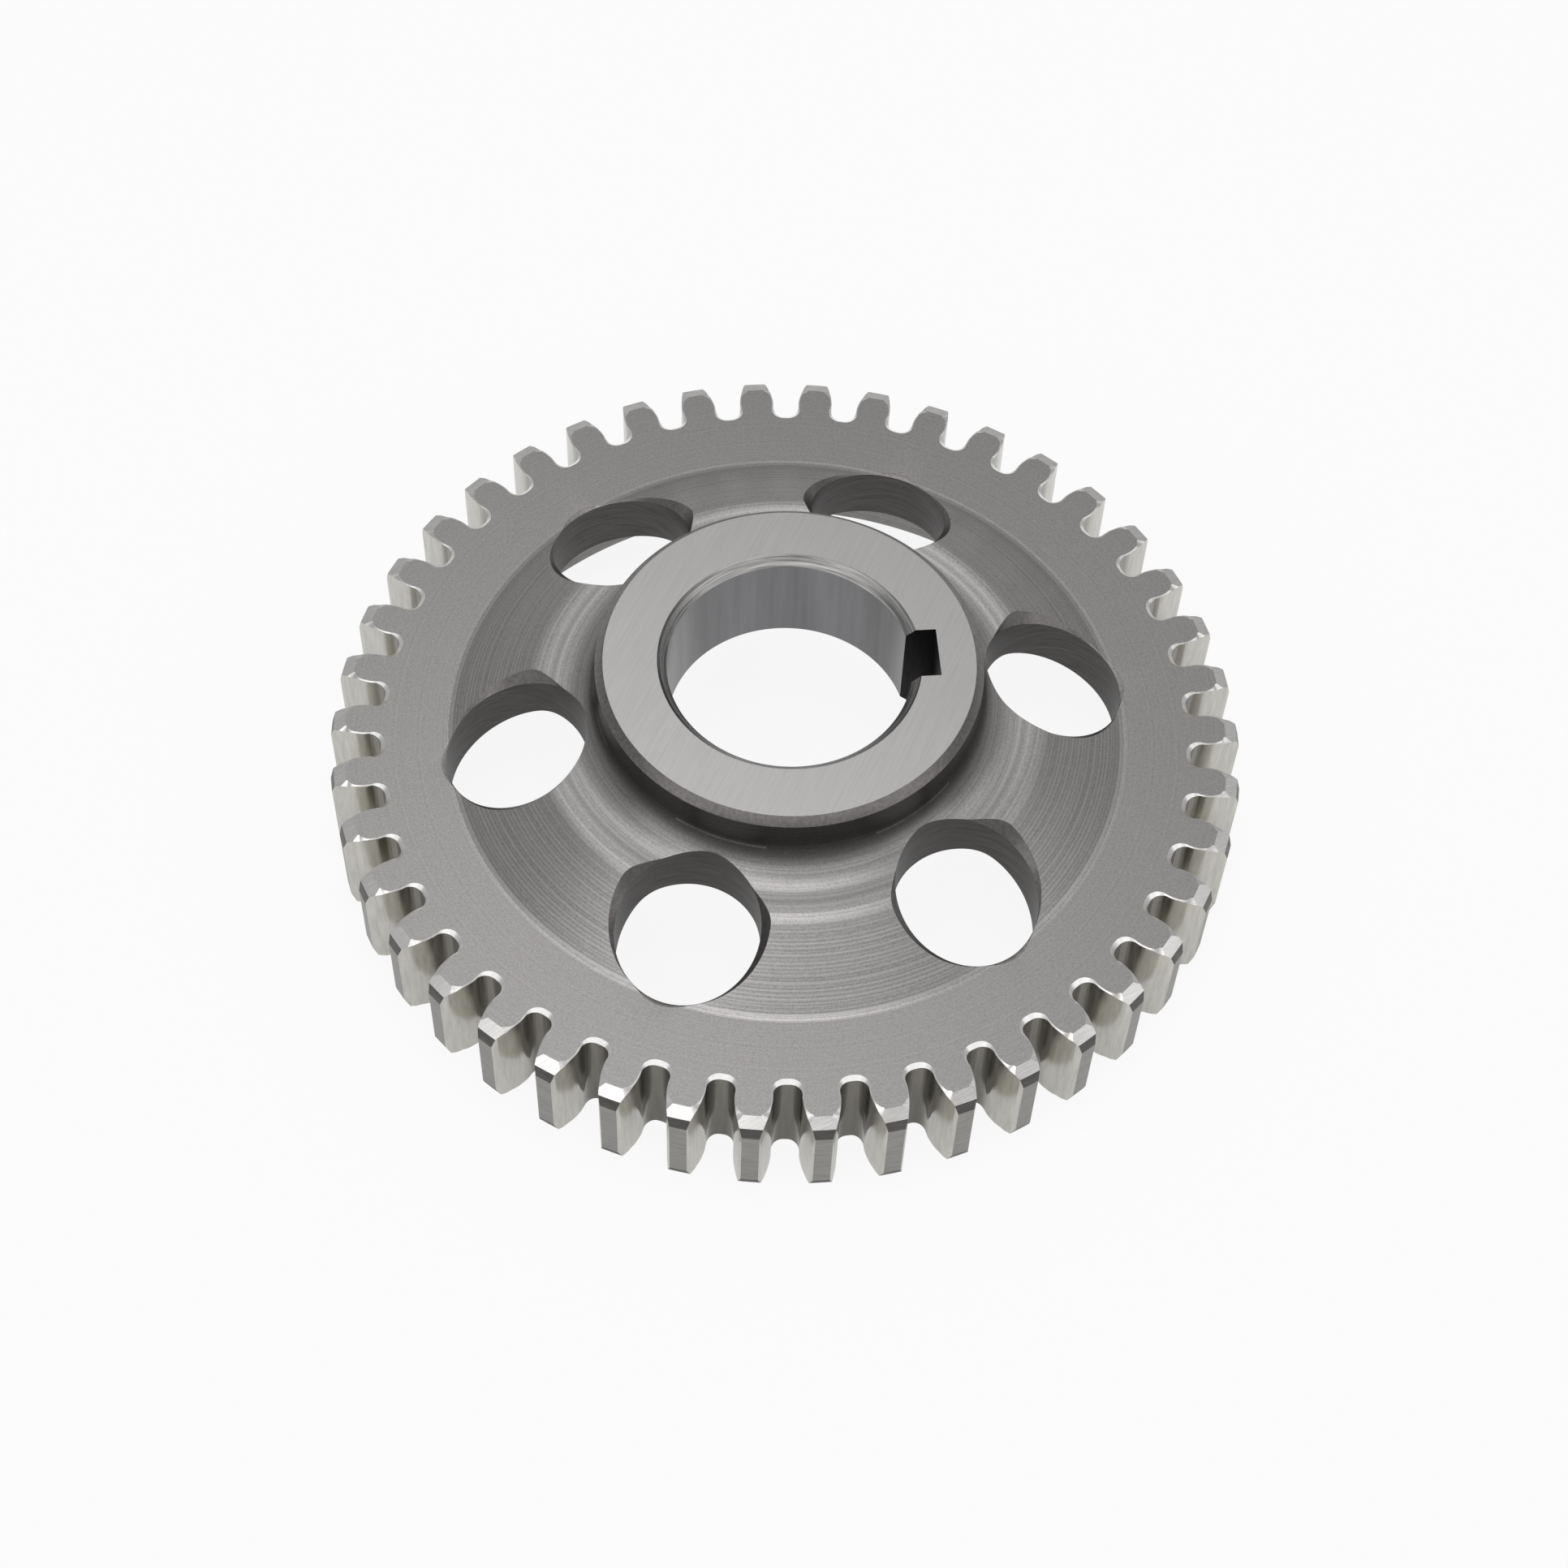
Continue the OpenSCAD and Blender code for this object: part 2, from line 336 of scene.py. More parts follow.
        # The flat end of a tooth narrows in a curve, from the full flank to end_w
        widest = self.facet_r * sin(self.pitch / 2 - self.space_angle(self.facet_r)) - s.end_w / 2
        facet_start = self.facet_r - self.flank_r
        facets = self.bevel_r - self.facet_r
        steps = [facet_start * i / FLANK_STEPS for i in range(FLANK_STEPS + 1)]
        steps += [facet_start + facets * i / FACET_STEPS for i in range(1, FACET_STEPS + 1)]
        for step in steps:
            r = self.flank_r + step
            narrowing = min(1, step / facet_start) ** CORNER_POWER
            width = s.flank_break_w + (widest - s.flank_break_w) * narrowing
            depth = max(s.flank_break_h, width * s.facet_drop / s.facet_len)
            outline.append((circle_point(r, self.space_angle(r)), width, depth))
        land = circle_point(self.tip_r, self.pitch / 2 - asin(s.tip_land / 2 / self.tip_r))
        past_tip = land + (land - outline[-1][0]) * 2
        for point in (land, past_tip):
            outline.append((point, width, depth))
        return outline


def deselect():
    """An operator acts on all that is selected, so each piece starts from nothing."""
    if bpy.context.object and bpy.context.object.mode != "OBJECT":
        bpy.ops.object.mode_set(mode="OBJECT")
    bpy.ops.object.select_all(action="DESELECT")


def draw_outline(name, points, filled):
    """A closed outline, extruded point by point from one corner, left in edit mode."""
    deselect()
    bpy.ops.mesh.primitive_plane_add(size=MM, location=(0, 0, 0))
    outline = bpy.context.object
    outline.name = name
    bpy.ops.object.mode_set(mode="EDIT")
    bpy.ops.mesh.select_all(action="SELECT")
    bpy.ops.mesh.merge(type="CENTER")
    bpy.ops.transform.translate(value=points[0])
    for here, there in zip(points, points[1:]):
        bpy.ops.mesh.extrude_region_move(TRANSFORM_OT_translate={"value": Vector(there) - Vector(here)})
    bpy.ops.mesh.select_all(action="SELECT")
    bpy.ops.mesh.edge_face_add()
    if not filled:
        bpy.ops.mesh.delete(type="ONLY_FACE")
        bpy.ops.mesh.select_all(action="SELECT")
    return outline


def finish_closed(piece):
    """Merges a closed shell's doubles and turns its faces outwards."""
    bpy.ops.mesh.select_all(action="SELECT")
    bpy.ops.mesh.remove_doubles(threshold=WELD)
    bpy.ops.mesh.normals_make_consistent(inside=False)
    bpy.ops.object.mode_set(mode="OBJECT")
    return piece


def turned_blank(s, section):
    """The blank as it leaves the lathe: the half section, spun round the axis."""
    points = [Vector((r, 0, z)) for r, z in section.outline()]
    blank = draw_outline("gear_steel", points, filled=False)
    bpy.ops.mesh.spin(steps=s.teeth * s.turn_steps, angle=2 * pi, center=(0, 0, 0), axis=(0, 0, 1))
    return finish_closed(blank)


def around(piece, count, first, step):
    """Turned copies of a cutter round the axis, joined as one object."""
    deselect()
    copies = []
    for i in range(count):
        copy = piece.copy()
        copy.data = piece.data.copy()
        copy.matrix_world = Matrix.Rotation(first + i * step, 4, "Z") @ piece.matrix_world
        bpy.context.scene.collection.objects.link(copy)
        copy.select_set(True)
        copies.append(copy)
    bpy.data.objects.remove(piece)
    bpy.context.view_layer.objects.active = copies[0]
    bpy.ops.object.join()
    joined = bpy.context.object
    bpy.ops.object.transform_apply(location=True, rotation=True, scale=True)
    return joined


def cut(body, cutter):
    """Takes a cutter's shape out of the body, and the cutter away."""
    deselect()
    bpy.context.view_layer.objects.active = body
    body.select_set(True)
    modifier = body.modifiers.new("cut", "BOOLEAN")
    modifier.operation = "DIFFERENCE"
    modifier.solver = "EXACT"
    modifier.object = cutter
    bpy.ops.object.modifier_apply(modifier=modifier.name)
    bpy.data.objects.remove(cutter)


def tooth_space(s, section):
    """A hob's path between two teeth, flared at both ends by the broken edges."""
    half = section.half_space()
    points = [point for point, _, _ in half]
    before = [Vector((points[1].x, -points[1].y))] + points[:-1]
    after = points[1:] + points[-1:]
    over = MM
    levels = []
    # Each end is flared from the depth of its broken edge to a level past the face
    for end, side, flared in ((0, 1, True), (0, 1, False), (s.face_w, -1, False), (s.face_w, -1, True)):
        level = []
        for (point, width, depth), back, on in zip(half, before, after):
            inwards = Vector((back.y - on.y, on.x - back.x)).normalized()
            if flared:
                flare = inwards * width * (1 + over / depth)
                level.append(Vector((point.x + flare.x, point.y + flare.y, end - side * over)))
            else:
                level.append(Vector((point.x, point.y, end + side * depth)))
        levels.append(level + [Vector((v.x, -v.y, v.z)) for v in reversed(level[1:])])
    ends = (levels[0], levels[-1])
    outlines = [draw_outline("tooth_space", level, filled=level in ends) for level in levels]
    deselect()
    for outline in outlines:
        outline.select_set(True)
    bpy.context.view_layer.objects.active = outlines[0]
    bpy.ops.object.join()
    cutter = bpy.context.object
    bpy.ops.object.mode_set(mode="EDIT")
    bpy.ops.mesh.select_all(action="SELECT")
    bpy.ops.mesh.bridge_edge_loops()
    return finish_closed(cutter)


def hole_drill(s):
    """A drill through the web at the hole circle."""
    deselect()
    bpy.ops.mesh.primitive_cylinder_add(
        vertices=DRILL_SIDES, radius=s.hole_d / 2, depth=2 * HUB_TOP,
        location=(s.hole_circle_d / 2, 0, HUB_TOP / 2),
    )
    return bpy.context.object


def hole_countersink(s, section):
    """A 90 degree countersink, square to the sloping web at the hole circle."""
    deselect()
    hole_r, x = s.hole_d / 2, s.hole_circle_d / 2
    sink_r = hole_r + s.hole_chamfer + (hypot(x, hole_r) - x) * sin(section.web_angle)
    # The cone is sink_r in radius at the web's face, and widens as much as it rises
    low_r, high_r = sink_r / 2, sink_r + s.sink_top
    depth = high_r - low_r
    tilt = Matrix.Rotation(section.web_angle, 4, "Y")
    bpy.ops.mesh.primitive_cone_add(vertices=DRILL_SIDES, radius1=low_r, radius2=high_r, depth=depth)
    cone = bpy.context.object
    middle = tilt @ Vector((-s.sink_shift, 0, depth / 2 - sink_r / 2))
    cone.matrix_world = Matrix.Translation(Vector((x, 0, section.web_z(x))) + middle) @ tilt
    return cone


def key_broach(s, section):
    """A broach for the keyway."""
    deselect()
    reach = section.bore_r + s.key_depth
    bpy.ops.mesh.primitive_cube_add(size=1, location=(reach / 2, 0, HUB_TOP / 2))
    broach = bpy.context.object
    broach.dimensions = (reach, s.key_w, 2 * HUB_TOP)
    bpy.ops.object.transform_apply(location=True, rotation=True, scale=True)
    return broach


def tooth_kind(section, r, normal, outwards):
    """Which cut made a face outside the roots of the teeth."""
    rise = abs(normal.z)
    if rise > LEVEL:
        return RIM if normal.z > 0 else BACK
    # The land and the steep facet over it point outwards, and the shallow facet mostly upwards
    if outwards > 0.9 and rise < 0.4 and r > section.tip_r - section.s.steep_len:
        return STEEP if rise > 0.1 else LAND
    if rise < 0.05:
        return FLANK
    return ROOT_EDGE if r < section.flank_r else EDGE


def hole_kind(section, centre, normal):
    """Which tool made a face inside a lightening hole, or None outside them."""
    s = section.s
    for i in range(s.holes):
        turn = s.hole_turn + i * 2 * pi / s.holes
        spot = circle_point(s.hole_circle_d / 2, turn)
        away = Vector((centre.x - spot.x, centre.y - spot.y))
        if away.length > s.hole_d / 2 + 3 * s.hole_chamfer:
            continue
        if abs(normal.z) < LEAN and away.length < s.hole_d / 2 + HAIR:
            return HOLE
        # A countersink's faces lean by 45 degrees to its own axis, which is square to the web
        lean = sin(section.web_angle)
        sink_axis = Vector((cos(turn) * lean, sin(turn) * lean, cos(section.web_angle)))
        faces_in = normal.x * away.x + normal.y * away.y < 0
        if abs(normal.dot(sink_axis) - cos(pi / 4)) < LEAN and faces_in:
            return SINK
    return None


def surface_kind(section, centre, normal):
    """Which cut made the face with this middle and normal."""
    s = section.s
    r, z = hypot(centre.x, centre.y), centre.z
    outwards = (normal.x * centre.x + normal.y * centre.y) / max(r, MM)
    if r > section.root_r - s.root_break_w - HAIR:
        return tooth_kind(section, r, normal, outwards)
    upright = abs(normal.z) < LEAN
    beside_key = centre.x > 0 and abs(centre.y) < s.key_w / 2 + HAIR
    if upright and beside_key and section.bore_r + HAIR < r < section.bore_r + 2 * s.key_depth:
        return KEYWAY
    if r < section.bore_r + s.bore_chamfer + HAIR and outwards < -0.3:
        return BORE if abs(normal.z) < 0.1 else CHAMFER
    if z > HUB_TOP - HAIR and normal.z > 1 - LEAN:
        return HUB
    # The hub's chamfer has the tone of the countersinks
    if z > HUB_TOP - s.hub_chamfer and r < section.hub_r and normal.z > 0.05:
        return SINK
    in_hole = hole_kind(section, centre, normal)
    if in_hole is not None:
        return in_hole
    below = z < section.web_z(r) - section.web_drop / 2
    if normal.z < -LEAN or (r > section.dish_r and below):
        return BACK
    rim_face = r > section.dish_r + s.dish_edge_r / 2 and normal.z > LEVEL
    return RIM if rim_face else WEB


class GEAR_OT_body(bpy.types.Operator):
    """Turn the blank, cut the teeth, drill and broach it, and give each surface its finish"""

    bl_idname = "gear.body"
    bl_label = "Gear"

    def execute(self, context):
        s = context.scene.gear_sizes
        section = Section(s)
        body = turned_blank(s, section)
        cut(body, around(tooth_space(s, section), s.teeth, 0, section.pitch))
        hole_step = 2 * pi / s.holes
        cut(body, around(hole_countersink(s, section), s.holes, s.hole_turn, hole_step))
        cut(body, around(hole_drill(s), s.holes, s.hole_turn, hole_step))
        cut(body, key_broach(s, section))
        deselect()
        body.select_set(True)
        context.view_layer.objects.active = body
        bpy.ops.object.mode_set(mode="EDIT")
        bpy.ops.mesh.select_all(action="SELECT")
        bpy.ops.mesh.remove_doubles(threshold=2 * WELD)
        bpy.ops.mesh.dissolve_degenerate(threshold=WELD)
        bpy.ops.object.mode_set(mode="OBJECT")
        bpy.ops.object.shade_smooth_by_angle(angle=radians(20))
        weighted = body.modifiers.new("flat_faces_rule", "WEIGHTED_NORMAL")
        weighted.keep_sharp = True
        weighted.weight = 100
        bpy.ops.object.modifier_apply(modifier=weighted.name)
        body.data.materials.clear()
        for finish in FINISHES:
            body.data.materials.append(finish(context.scene.gear_finish, section))
        for face in body.data.polygons:
            face.material_index = surface_kind(section, face.center, face.normal)
        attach(body, "root")
        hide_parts("gear")
        return {"FINISHED"}


def add(tree, kind, inputs=None, **settings):
    """A node with its settings, and each input set to a value or linked to a socket."""
    made = tree.nodes.new(kind)
    for name, value in settings.items():
        setattr(made, name, value)
    for name, value in (inputs or {}).items():
        if isinstance(value, bpy.types.NodeSocket):
            tree.links.new(value, made.inputs[name])
        else:
            made.inputs[name].default_value = value
    return made


def steel(name, rgb, roughness, anisotropy=0.0):
    """A bare steel, ready for its cut marks."""
    material = bpy.data.materials.new(name)
    material.use_nodes = True
    material.diffuse_color = (*rgb, 1.0)
    tree = material.node_tree
    shader = tree.nodes["Principled BSDF"]
    shader.inputs["Base Color"].default_value = (*rgb, 1.0)
    shader.inputs["Metallic"].default_value = 1.0
    shader.inputs["Roughness"].default_value = roughness
    shader.inputs["Anisotropic"].default_value = anisotropy
    if anisotropy:
        round_axis = add(tree, "ShaderNodeTangent", direction_type="RADIAL", axis="Z")
        tree.links.new(round_axis.outputs["Tangent"], shader.inputs["Tangent"])
        # A quarter turn: a highlight runs across the rings, from the hub to the rim
        shader.inputs["Anisotropic Rotation"].default_value = 0.25
    return material, tree, shader


def distance_from_axis(tree):
    """How far a point is from the gear's axis."""
    place = add(tree, "ShaderNodeTexCoord")
    flat = add(tree, "ShaderNodeVectorMath", {0: place.outputs["Object"], 1: (1, 1, 0)}, operation="MULTIPLY")
    return add(tree, "ShaderNodeVectorMath", {0: flat.outputs["Vector"]}, operation="LENGTH").outputs["Value"]


def turned_rings(tree, feed, grit, ring_share=0.5, ridge=None):
    """Rings left by a turning tool at every feed, and a grain; ridge says where its cusps show."""
    place = add(tree, "ShaderNodeTexCoord")
    split = add(tree, "ShaderNodeSeparateXYZ", {"Vector": place.outputs["Object"]})
    # The tool's path, which grows outwards on a level face and down a wall
    path = add(tree, "ShaderNodeMath", {
        0: distance_from_axis(tree), 1: split.outputs["Z"],
    }, operation="SUBTRACT")
    step = add(tree, "ShaderNodeMath", {0: path.outputs["Value"], 1: 1 / feed}, operation="MULTIPLY")
    rings = add(tree, "ShaderNodeTexNoise", {
        "W": step.outputs["Value"], "Scale": 1.0, "Detail": 2.0, "Roughness": 0.75,
    }, noise_dimensions="1D")
    grain = add(tree, "ShaderNodeTexNoise", {
        "Vector": place.outputs["Object"], "Scale": 1 / grit, "Detail": 2.0, "Roughness": 0.7,
    })
    both = add(tree, "ShaderNodeMix", {
        "Factor": ring_share, "A": grain.outputs["Fac"], "B": rings.outputs["Fac"],
    }).outputs["Result"]
    if ridge is None:
        return both
    # Sharp cusps of uneven height, one at every feed
    wave = add(tree, "ShaderNodeMath", {0: step.outputs["Value"], 1: 0.5}, operation="PINGPONG")
    twice = add(tree, "ShaderNodeMath", {0: wave.outputs["Value"], 1: 2.0}, operation="MULTIPLY")
    cusp = add(tree, "ShaderNodeMath", {0: twice.outputs["Value"], 1: 5.0}, operation="POWER")
    uneven = add(tree, "ShaderNodeMath", {0: cusp.outputs["Value"], 1: both}, operation="MULTIPLY")
    return add(tree, "ShaderNodeMath", {
        0: uneven.outputs["Value"], 1: ridge, 2: both,
    }, operation="MULTIPLY_ADD").outputs["Value"]


def painted_shade_band(tree, shader, tone, distance, dark_at, lit_at, dark):
    """Darkens a surface between two distances: painted shade."""
    lit_share = add(tree, "ShaderNodeMapRange", {
        "Value": distance, "From Min": dark_at, "From Max": lit_at,
    }, interpolation_type="SMOOTHSTEP")
    shade_ramp = add(tree, "ShaderNodeValToRGB", {"Fac": lit_share.outputs["Result"]})
    shade_ramp.color_ramp.elements[0].color = (*dark, 1.0)
    shade_ramp.color_ramp.elements[1].color = (1, 1, 1, 1)
    seen = add(tree, "ShaderNodeVectorMath", {0: tone, 1: shade_ramp.outputs["Color"]}, operation="MULTIPLY")
    tree.links.new(seen.outputs["Vector"], shader.inputs["Base Color"])


def straight_marks(tree, sizes, turn=0.0):
    """A pattern of straight marks, with their sizes along three axes before the turn."""
    place = add(tree, "ShaderNodeTexCoord")
    stretch = add(tree, "ShaderNodeMapping", {
        "Vector": place.outputs["Object"], "Rotation": (0, 0, turn), "Scale": sizes,
    }, vector_type="TEXTURE")
    marks = add(tree, "ShaderNodeTexNoise", {
        "Vector": stretch.outputs["Vector"], "Scale": 1.0, "Detail": 3.0, "Roughness": 0.65,
    })
    return marks.outputs["Fac"]


def show_marks(tree, shader, rgb, pattern, contrast, depth):
    """Lets a pattern show as a change of tone and, over its depth in metres, as a change of height."""
    tone = add(tree, "ShaderNodeValToRGB", {"Fac": pattern})
    dark, light = tone.color_ramp.elements
    # Noise keeps to the middle of its range
    dark.position, light.position = 0.3, 0.7
    dark.color = (*(c * (1 - contrast) for c in rgb), 1.0)
    light.color = (*(min(1, c * (1 + contrast)) for c in rgb), 1.0)
    height = add(tree, "ShaderNodeBump", {"Height": pattern, "Distance": depth, "Strength": 1.0})
    tree.links.new(tone.outputs["Color"], shader.inputs["Base Color"])
    tree.links.new(height.outputs["Normal"], shader.inputs["Normal"])
    return tone.outputs["Color"]


# The feeds of the turned faces follow the photograph. Grain and scratches are drawn a few tenths of a
# millimetre wide, several times as coarse as the real ones, which are too fine to show in the picture.


def turned_rim(finish, section):
    """Fine turned steel: a matt grey face on which the rings only just show."""
    material, tree, shader = steel("turned_rim_steel", finish.rim, roughness=0.36)
    pattern = turned_rings(tree, feed=0.3 * MM, grit=0.22 * MM, ring_share=0.25)
    show_marks(tree, shader, finish.rim, pattern, contrast=0.18, depth=0.003 * MM)
    return material


def turned_web(finish, section):
    """Turned steel with a coarser feed, whose rings glint, and painted shade up the foot of the hub's wall.
    """
    material, tree, shader = steel("turned_web_steel", finish.web, roughness=0.36, anisotropy=0.75)
    distance = distance_from_axis(tree)
    # The cusps of the feed show on the sloping web, and not on the smoother ring by the hub
    ridge = add(tree, "ShaderNodeMapRange", {
        "Value": distance, "From Min": section.ring_r, "From Max": section.ring_r + 2 * MM, "To Max": 0.6,
    })
    pattern = turned_rings(tree, feed=0.55 * MM, grit=0.25 * MM, ridge=ridge.outputs["Result"])
    tone = show_marks(tree, shader, finish.web, pattern, contrast=0.3, depth=0.014 * MM)
    # Painted shade: the hub's wall is dark down to the steep half of its fillet
    lit_r = section.hub_r + section.s.hub_fillet_r * 0.45
    dark = tuple(w / c for w, c in zip(finish.wall, finish.web))
    painted_shade_band(tree, shader, tone, distance, dark_at=section.hub_r, lit_at=lit_r, dark=dark)
    return material


def ground_hub(finish, section):
    """Ground steel: lighter than the turned faces, with long straight scratches."""
    material, tree, shader = steel("ground_hub_steel", finish.hub, roughness=0.36)
    pattern = straight_marks(tree, (8 * MM, 0.25 * MM, 8 * MM), turn=radians(62))
    show_marks(tree, shader, finish.hub, pattern, contrast=0.06, depth=0.002 * MM)
    return material


def bored_steel(finish, section):
    """Bored and honed steel: smooth enough to show broad upright bands of light and shade."""
    material, tree, shader = steel("bored_steel", finish.bore, roughness=0.24)
    pattern = straight_marks(tree, (4 * MM, 4 * MM, 60 * MM))
    show_marks(tree, shader, finish.bore, pattern, contrast=0.22, depth=0.001 * MM)
    return material


def scratched_chamfer(finish, section):
    """A chamfer with rings from a deburring tool, some of them bright."""
    material, tree, shader = steel("chamfer_steel", finish.hub, roughness=0.36)
    pattern = straight_marks(tree, (9 * MM, 9 * MM, 0.2 * MM))
    show_marks(tree, shader, finish.hub, pattern, contrast=0.7, depth=0.03 * MM)
    return material


def broached_keyway(finish, section):
    """Broached steel, nearly black, with upright marks."""
    material, tree, shader = steel("broached_steel", finish.keyway, roughness=0.45)
    pattern = straight_marks(tree, (0.3 * MM, 0.3 * MM, 5 * MM))
    show_marks(tree, shader, finish.keyway, pattern, contrast=0.3, depth=0.006 * MM)
    return material


def hobbed_flank(finish, section):
    """Hobbed steel: smooth flanks with a warm sheen, and painted shade towards the floor of each space."""
    material, tree, shader = steel("hobbed_steel", finish.flank, roughness=0.17)
    pattern = straight_marks(tree, (0.5 * MM, 0.5 * MM, 4 * MM))
    sheen = show_marks(tree, shader, finish.flank, pattern, contrast=0.12, depth=0.003 * MM)
    floor_r = section.root_r
    distance = distance_from_axis(tree)
    # Painted shade: darker towards the floor of each space
    painted_shade_band(tree, shader, sheen, distance, dark_at=floor_r, lit_at=floor_r + 2.6 * MM, dark=(0.3, 0.29, 0.28))
    return material


def cut_facet(finish, section):
    """Freshly cut facets and broken edges, nearly white: bright cut steel with a painted highlight."""
    material, tree, shader = steel("cut_facet_steel", finish.edge, roughness=0.3)
    pattern = straight_marks(tree, (1.5 * MM, 0.15 * MM, 1.5 * MM), turn=radians(25))
    show_marks(tree, shader, finish.edge, pattern, contrast=0.12, depth=0.008 * MM)
    return material


def broken_root_edge(finish, section):
    """The broken edge round a space's floor: bare metal, painted near white as a highlight seen from every
    side.
    """
    material, tree, shader = steel("broken_edge_steel", finish.root_edge, roughness=0.32)
    pattern = straight_marks(tree, (0.3 * MM, 0.3 * MM, 0.3 * MM))
    show_marks(tree, shader, finish.root_edge, pattern, contrast=0.05, depth=0.004 * MM)
    return material


def turned_land(finish, section):
    """The tip circle, turned before the teeth were cut: dull, with marks round the gear."""
    material, tree, shader = steel("turned_land_steel", finish.land, roughness=0.38)
    pattern = straight_marks(tree, (3 * MM, 3 * MM, 0.3 * MM))
    show_marks(tree, shader, finish.land, pattern, contrast=0.15, depth=0.005 * MM)
    return material


def turned_corner(finish, section):
    """The steep facet over a land: duller than the land, and darker as painted shade, with marks round the
    gear.
    """
    material, tree, shader = steel("turned_corner_steel", finish.steep, roughness=0.42)
    pattern = straight_marks(tree, (3 * MM, 3 * MM, 0.3 * MM))
    show_marks(tree, shader, finish.steep, pattern, contrast=0.2, depth=0.005 * MM)
    return material


def drilled_hole(finish, section):
    """Drilled walls: dark as painted shade, with faint scoring round the hole."""
    material, tree, shader = steel("drilled_steel", finish.hole, roughness=0.42)
    pattern = straight_marks(tree, (4 * MM, 4 * MM, 0.35 * MM))
    show_marks(tree, shader, finish.hole, pattern, contrast=0.25, depth=0.008 * MM)
    return material


def countersunk_edge(finish, section):
    """Countersunk edges: a mid grey with a little grain."""
    material, tree, shader = steel("countersunk_steel", finish.sink, roughness=0.36)
    pattern = straight_marks(tree, (0.4 * MM, 0.4 * MM, 0.4 * MM))
    show_marks(tree, shader, finish.sink, pattern, contrast=0.2, depth=0.006 * MM)
    return material


def turned_back(finish, section):
    """The underside, turned with a coarse feed as the web is, and duller."""
    material, tree, shader = steel("turned_back_steel", finish.web, roughness=0.4, anisotropy=0.3)
    pattern = turned_rings(tree, feed=0.6 * MM, grit=0.3 * MM)
    show_marks(tree, shader, finish.web, pattern, contrast=0.25, depth=0.01 * MM)
    return material


# In the order of the slots
FINISHES = (
    turned_rim, turned_web, ground_hub, bored_steel, scratched_chamfer, broached_keyway, hobbed_flank,
    cut_facet, broken_root_edge, turned_land, turned_corner, drilled_hole, countersunk_edge, turned_back,
)


def white_sheet(rgb):
    """A matt white sheet: the camera sees it nearly white, and the gear's shadow still shows."""
    material = bpy.data.materials.new("white_sheet")
    material.use_nodes = True
    tree = material.node_tree
    tree.nodes.clear()
    sheet = add(tree, "ShaderNodeBsdfDiffuse", {"Color": (*rgb, 1.0)})
    glow = add(tree, "ShaderNodeEmission", {"Color": (1, 1, 1, 1), "Strength": 1.0})
    ray = add(tree, "ShaderNodeLightPath")
    # How much of the white glow each kind of ray sees; the rest is the sheet with the gear's shadow
    share = 0.0
    for kind, glow_share in (("Is Camera Ray", 0.9), ("Is Glossy Ray", 0.5), ("Is Transmission Ray", 0.5)):
        share = add(tree, "ShaderNodeMath", {
            0: ray.outputs[kind], 1: glow_share, 2: share,
        }, operation="MULTIPLY_ADD").outputs["Value"]
    pick = add(tree, "ShaderNodeMixShader", {0: share, 1: sheet.outputs["BSDF"], 2: glow.outputs["Emission"]})
    add(tree, "ShaderNodeOutputMaterial", {"Surface": pick.outputs["Shader"]})
    return material


def softbox(name, width, depth, radiance, place):
    """A soft rectangular lamp that points at the gear, as bright as a surface of that radiance."""
    light = bpy.data.lights.new(name, "AREA")
    light.shape = "RECTANGLE"
    light.size, light.size_y = width, depth
    light.energy = radiance * pi * width * depth
    holder = bpy.data.objects.new(name, light)
    bpy.context.scene.collection.objects.link(holder)
    holder.location = place
    holder.rotation_mode = "QUATERNION"
    holder.rotation_quaternion = (-Vector(place)).to_track_quat("-Z", "Y")


FLOOR_SIZE = 3.0
VIEW_RANGE = (0.01, 10)
WORLD_WHITE = 0.37
# The lamps' names, widths, depths, radiances and places: boxes overhead and to the right, a small
# lamp that the near shoulder and facets mirror, and screens behind, in front and on both sides
LAMPS = (
    ("overhead_box", 0.8, 0.36, 1.2, (-0.15, 0.06, 0.7)),
    ("right_box", 0.3, 0.34, 0.75, (0.42, 0.06, 0.64)),
    ("top_lamp", 0.12, 0.22, 4.6, (0.06, 0.0, 0.68)),
    ("back_screen", 1.2, 0.5, 0.42, (0.12, 0.52, 0.78)),
    ("front_screen", 1.2, 0.3, 1.0, (0, -0.7, 0.66)),
    ("side_screen", 0.5, 0.4, 0.8, (-0.72, -0.45, 0.4)),
    ("side_screen", 0.5, 0.4, 0.8, (0.72, -0.45, 0.4)),
)


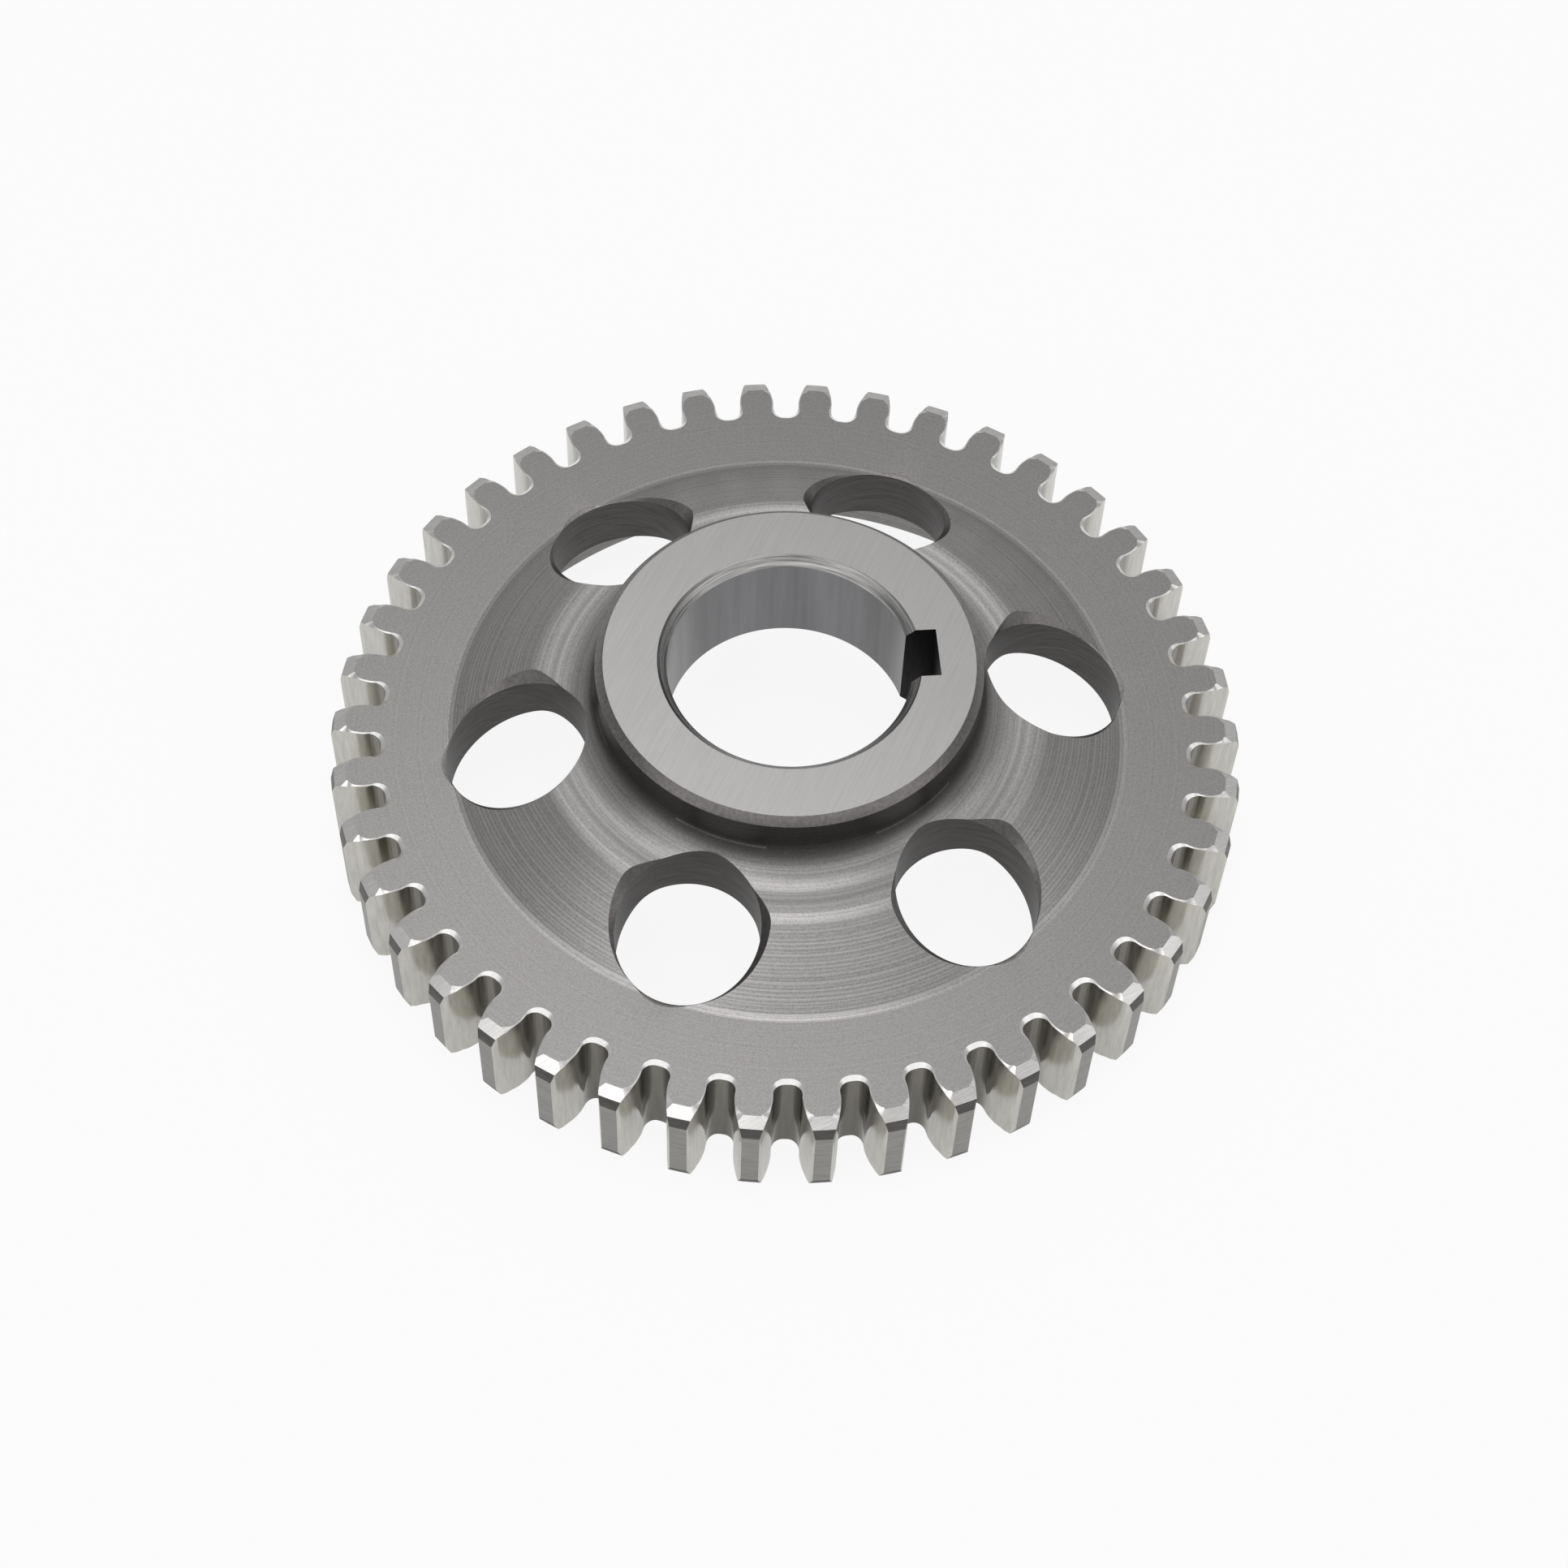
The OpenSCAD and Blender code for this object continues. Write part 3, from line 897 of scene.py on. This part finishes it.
class GEAR_OT_stage(bpy.types.Operator):
    """Lay the white floor, hang the soft lamps and set the photograph's camera"""

    bl_idname = "gear.stage"
    bl_label = "Stage"

    def execute(self, context):
        deselect()
        bpy.ops.mesh.primitive_plane_add(size=FLOOR_SIZE, location=(0, 0, 0))
        floor = context.object
        floor.name = "floor"
        floor.data.materials.append(white_sheet(context.scene.gear_finish.floor))
        self.camera(context)
        self.light(context)
        context.scene.view_settings.view_transform = "Standard"
        return {"FINISHED"}

    def camera(self, context):
        view = context.scene.gear_view
        data = bpy.data.cameras.new("photo_camera")
        data.sensor_width = SENSOR
        data.lens = view.focal_px * SENSOR / PHOTO_PX
        data.clip_start, data.clip_end = VIEW_RANGE
        camera = bpy.data.objects.new("photo_camera", data)
        context.scene.collection.objects.link(camera)
        # The camera's axes before its roll: right, down and forward
        spin = Matrix.Rotation(view.azimuth, 3, "Z")
        right = spin @ Vector((1, 0, 0))
        forward = spin @ Vector((0, cos(view.elevation), -sin(view.elevation)))
        down = forward.cross(right)
        c, n = cos(view.roll), sin(view.roll)
        right, down = right * c + down * n, down * c - right * n
        aim = Vector((0, 0, view.land_top)) + right * view.aim_right + down * view.aim_down
        turn = Matrix((right, -down, -forward)).transposed()
        camera.matrix_world = Matrix.Translation(aim - forward * view.distance) @ turn.to_4x4()
        context.scene.camera = camera

    def light(self, context):
        world = bpy.data.worlds.new("studio")
        context.scene.world = world
        world.use_nodes = True
        around_gear = world.node_tree.nodes["Background"]
        around_gear.inputs["Color"].default_value = (1, 1, 1, 1)
        around_gear.inputs["Strength"].default_value = WORLD_WHITE
        for name, width, depth, radiance, place in LAMPS:
            softbox(name, width, depth, radiance, place)


class GEAR_PT_panel(bpy.types.Panel):
    """Lists the pieces in the sidebar"""

    bl_label = "Balance shaft gear"
    bl_idname = "GEAR_PT_panel"
    bl_space_type = "VIEW_3D"
    bl_region_type = "UI"
    bl_category = "Gear"

    def draw(self, context):
        for group in ("gear_sizes", "gear_finish", "gear_view"):
            box = self.layout.box()
            settings = getattr(context.scene, group)
            for name in settings.__annotations__:
                box.prop(settings, name)
        self.layout.operator(GEAR_OT_body.bl_idname)
        self.layout.operator(GEAR_OT_stage.bl_idname)


CLASSES = (GearSizes, GearFinish, GearView, GEAR_OT_body, GEAR_OT_stage, GEAR_PT_panel)


def register():
    for cls in CLASSES:
        bpy.utils.register_class(cls)
    bpy.types.Scene.gear_sizes = PointerProperty(type=GearSizes)
    bpy.types.Scene.gear_finish = PointerProperty(type=GearFinish)
    bpy.types.Scene.gear_view = PointerProperty(type=GearView)


def unregister():
    del bpy.types.Scene.gear_view
    del bpy.types.Scene.gear_finish
    del bpy.types.Scene.gear_sizes
    for cls in reversed(CLASSES):
        bpy.utils.unregister_class(cls)


def main():
    register()
    bpy.ops.gear.stage()
    bpy.ops.gear.body()


if __name__ == "__main__":
    main()
